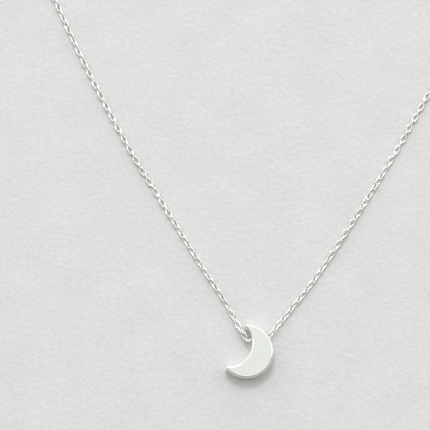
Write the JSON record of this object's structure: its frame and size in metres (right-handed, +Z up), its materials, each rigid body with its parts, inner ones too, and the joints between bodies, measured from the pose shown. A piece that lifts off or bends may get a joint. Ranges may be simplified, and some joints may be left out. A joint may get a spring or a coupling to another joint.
{
  "type": "pendant necklace",
  "caption": "Fine silver cable-chain necklace with a thick solid crescent-moon bead that the chain passes through, closed by a lobster clasp with an extender.",
  "frame": {"origin": "middle of the moon's box on its flat back face, which lies on the surface", "axes": "+Z up out of the surface, +Y from the moon towards the clasp, +X to the right seen from above"},
  "size_m": [0.0962, 0.1155, 0.0032],
  "materials": {
    "moon_silver": "polished sterling silver",
    "chain_silver": "polished sterling silver",
    "findings_silver": "polished sterling silver",
    "spring_steel": "bright spring wire"
  },
  "bodies": {
    "chain": {"chain_left": "chain_silver", "chain_right": "chain_silver", "left_end_ring": "findings_silver", "right_end_ring": "findings_silver"},
    "bore_chain": {"chain_in_bore": "chain_silver"},
    "moon": {"moon": "moon_silver"},
    "left_jump_ring": {"left_jump_ring": "findings_silver"},
    "clasp": {"clasp_claw": "findings_silver", "clasp_pin": "findings_silver", "clasp_spring": "spring_steel"},
    "clasp_lever": {"clasp_lever": "findings_silver"},
    "catch_ring": {"catch_ring": "findings_silver"},
    "extender_link_01": {"extender_link_01": "findings_silver"},
    "extender_link_02": {"extender_link_02": "findings_silver"},
    "extender_link_03": {"extender_link_03": "findings_silver"},
    "extender_link_04": {"extender_link_04": "findings_silver"},
    "extender_link_05": {"extender_link_05": "findings_silver"},
    "extender_link_06": {"extender_link_06": "findings_silver"},
    "extender_link_07": {"extender_link_07": "findings_silver"},
    "extender_link_08": {"extender_link_08": "findings_silver"},
    "extender_link_09": {"extender_link_09": "findings_silver"},
    "extender_link_10": {"extender_link_10": "findings_silver"},
    "drop_ring": {"drop_ring": "findings_silver"},
    "end_drop": {"end_drop": "findings_silver"}
  },
  "joints": [
    {"name": "moon_swing", "type": "hinge", "parent": "chain", "child": "bore_chain", "pos_m": [0.00166, 0.00236, 0.0015], "axis": [-0.9744, -0.225, 0], "range_deg": [0, 120]},
    {"name": "moon_slide", "type": "slide", "parent": "bore_chain", "child": "moon", "axis": [0.9744, 0.225, 0], "range_m": [-0.0002, 0.0001]},
    {"name": "left_ring_swing", "type": "hinge", "parent": "chain", "child": "left_jump_ring", "pos_m": [0.00771, 0.108, 0.0015], "axis": [0, 0, 1], "range_deg": [-1.2, 1.2]},
    {"name": "clasp_roll", "type": "hinge", "parent": "left_jump_ring", "child": "clasp", "pos_m": [0.01046, 0.108, 0.0015], "axis": [1, 0, 0], "range_deg": [-6, 6]},
    {"name": "lever_press", "type": "hinge", "parent": "clasp", "child": "clasp_lever", "pos_m": [0.01467, 0.10702, 0.0015], "axis": [0, 0, 1], "range_deg": [0, 15], "stiffness_Nm_per_rad": 0.005, "springref_deg": -17.19},
    {"name": "catch_ring_swing", "type": "hinge", "parent": "chain", "child": "catch_ring", "pos_m": [0.01966, 0.108, 0.0015], "axis": [0, 0, 1], "range_deg": [-2, 2]},
    {"name": "extender_link_01_swing", "type": "hinge", "parent": "catch_ring", "child": "extender_link_01", "pos_m": [0.01984, 0.108, 0.00175], "axis": [0, 0, 1], "range_deg": [-8, 8]},
    {"name": "extender_link_02_swing", "type": "hinge", "parent": "extender_link_01", "child": "extender_link_02", "pos_m": [0.02014, 0.10599, 0.00163], "axis": [0, 0, 1], "range_deg": [-10, 10]},
    {"name": "extender_link_03_swing", "type": "hinge", "parent": "extender_link_02", "child": "extender_link_03", "pos_m": [0.02001, 0.10353, 0.00151], "axis": [0, 0, 1], "range_deg": [-10, 10]},
    {"name": "extender_link_04_swing", "type": "hinge", "parent": "extender_link_03", "child": "extender_link_04", "pos_m": [0.01971, 0.10109, 0.00139], "axis": [0, 0, 1], "range_deg": [-10, 10]},
    {"name": "extender_link_05_swing", "type": "hinge", "parent": "extender_link_04", "child": "extender_link_05", "pos_m": [0.01933, 0.09866, 0.00127], "axis": [0, 0, 1], "range_deg": [-10, 10]},
    {"name": "extender_link_06_swing", "type": "hinge", "parent": "extender_link_05", "child": "extender_link_06", "pos_m": [0.01898, 0.09623, 0.00115], "axis": [0, 0, 1], "range_deg": [-10, 10]},
    {"name": "extender_link_07_swing", "type": "hinge", "parent": "extender_link_06", "child": "extender_link_07", "pos_m": [0.01877, 0.09378, 0.00103], "axis": [0, 0, 1], "range_deg": [-10, 10]},
    {"name": "extender_link_08_swing", "type": "hinge", "parent": "extender_link_07", "child": "extender_link_08", "pos_m": [0.01873, 0.09132, 0.00092], "axis": [0, 0, 1], "range_deg": [-10, 10]},
    {"name": "extender_link_09_swing", "type": "hinge", "parent": "extender_link_08", "child": "extender_link_09", "pos_m": [0.01886, 0.08886, 0.00092], "axis": [0, 0, 1], "range_deg": [-10, 10]},
    {"name": "extender_link_10_swing", "type": "hinge", "parent": "extender_link_09", "child": "extender_link_10", "pos_m": [0.01911, 0.08641, 0.00092], "axis": [0, 0, 1], "range_deg": [-10, 10]},
    {"name": "drop_ring_swing", "type": "hinge", "parent": "extender_link_10", "child": "drop_ring", "pos_m": [0.01948, 0.08382, 0.001], "axis": [0, 0, 1], "range_deg": [-12, 12]},
    {"name": "end_drop_swing", "type": "hinge", "parent": "drop_ring", "child": "end_drop", "pos_m": [0.01971, 0.08214, 0.001], "axis": [0, 0, 1], "range_deg": [-12, 12]}
  ]
}
